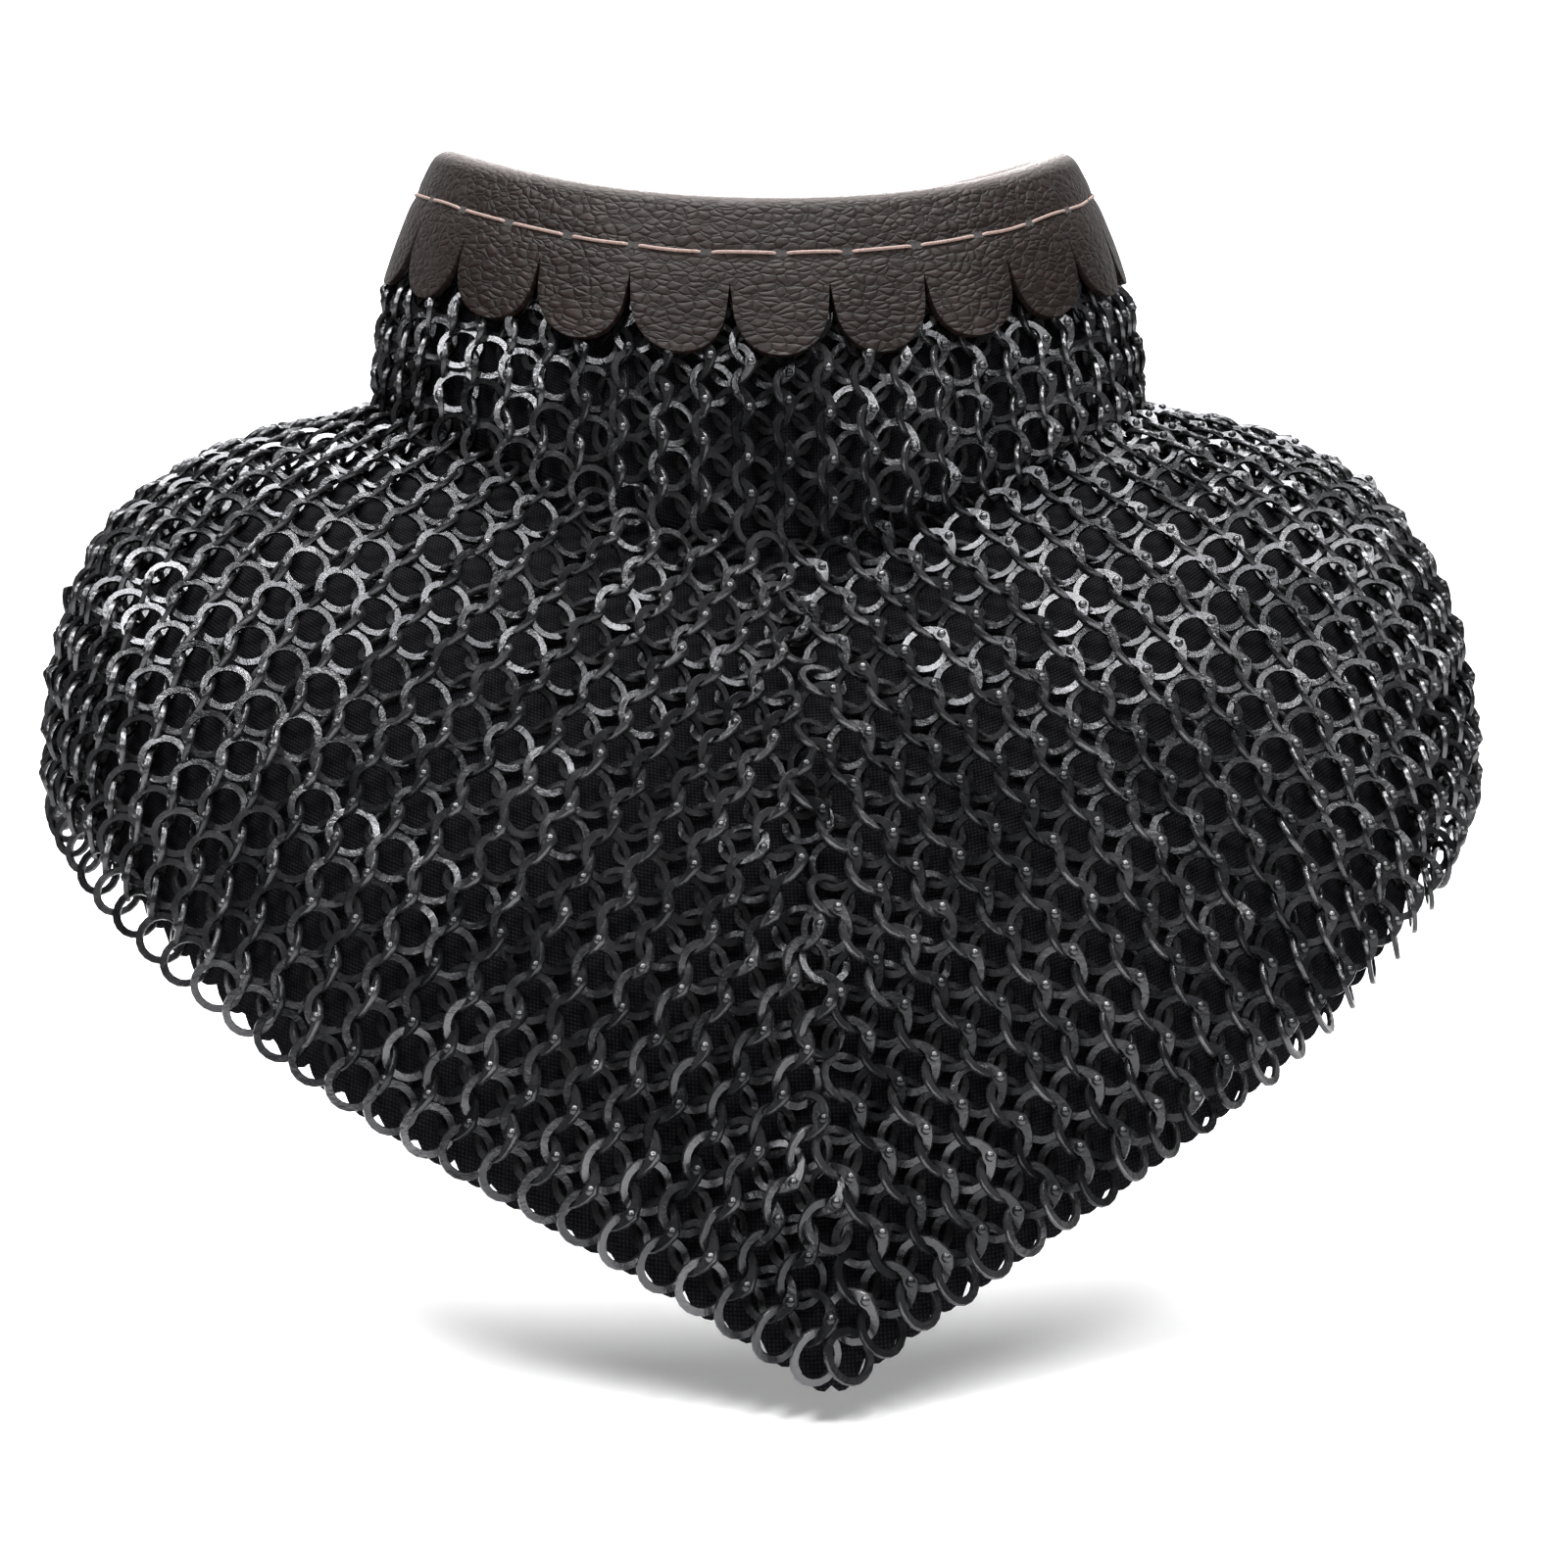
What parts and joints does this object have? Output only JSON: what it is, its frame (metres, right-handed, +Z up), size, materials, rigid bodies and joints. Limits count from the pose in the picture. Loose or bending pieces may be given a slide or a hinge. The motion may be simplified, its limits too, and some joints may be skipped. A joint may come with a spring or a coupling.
{
  "type": "mail gorget",
  "caption": "Blackened mail gorget: a stand-up neck and pointed four-panel mantle over black cloth, with a tongued brown leather collar binding.",
  "frame": {"origin": "middle of the neck's base, where the wearer's neck and shoulders carry the gorget", "axes": "+Z up out of the collar, -Y towards the wearer's front, +X towards the wearer's left"},
  "size_m": [0.4072, 0.3836, 0.3254],
  "materials": {
    "mail": "satin",
    "lining": "matte",
    "leather": "satin",
    "studs": "satin"
  },
  "bodies": {
    "root": {"mail_neck": "mail", "mail_front_left": "mail", "mail_front_right": "mail", "mail_back_left": "mail", "mail_back_right": "mail", "lining_collar": "lining", "lining_front": "lining", "lining_back_left": "lining", "lining_back_right": "lining", "collar_binding": "leather", "back_strap": "leather", "strap_stud_1": "studs", "strap_stud_2": "studs", "strap_stud_3": "studs"}
  },
  "joints": []
}
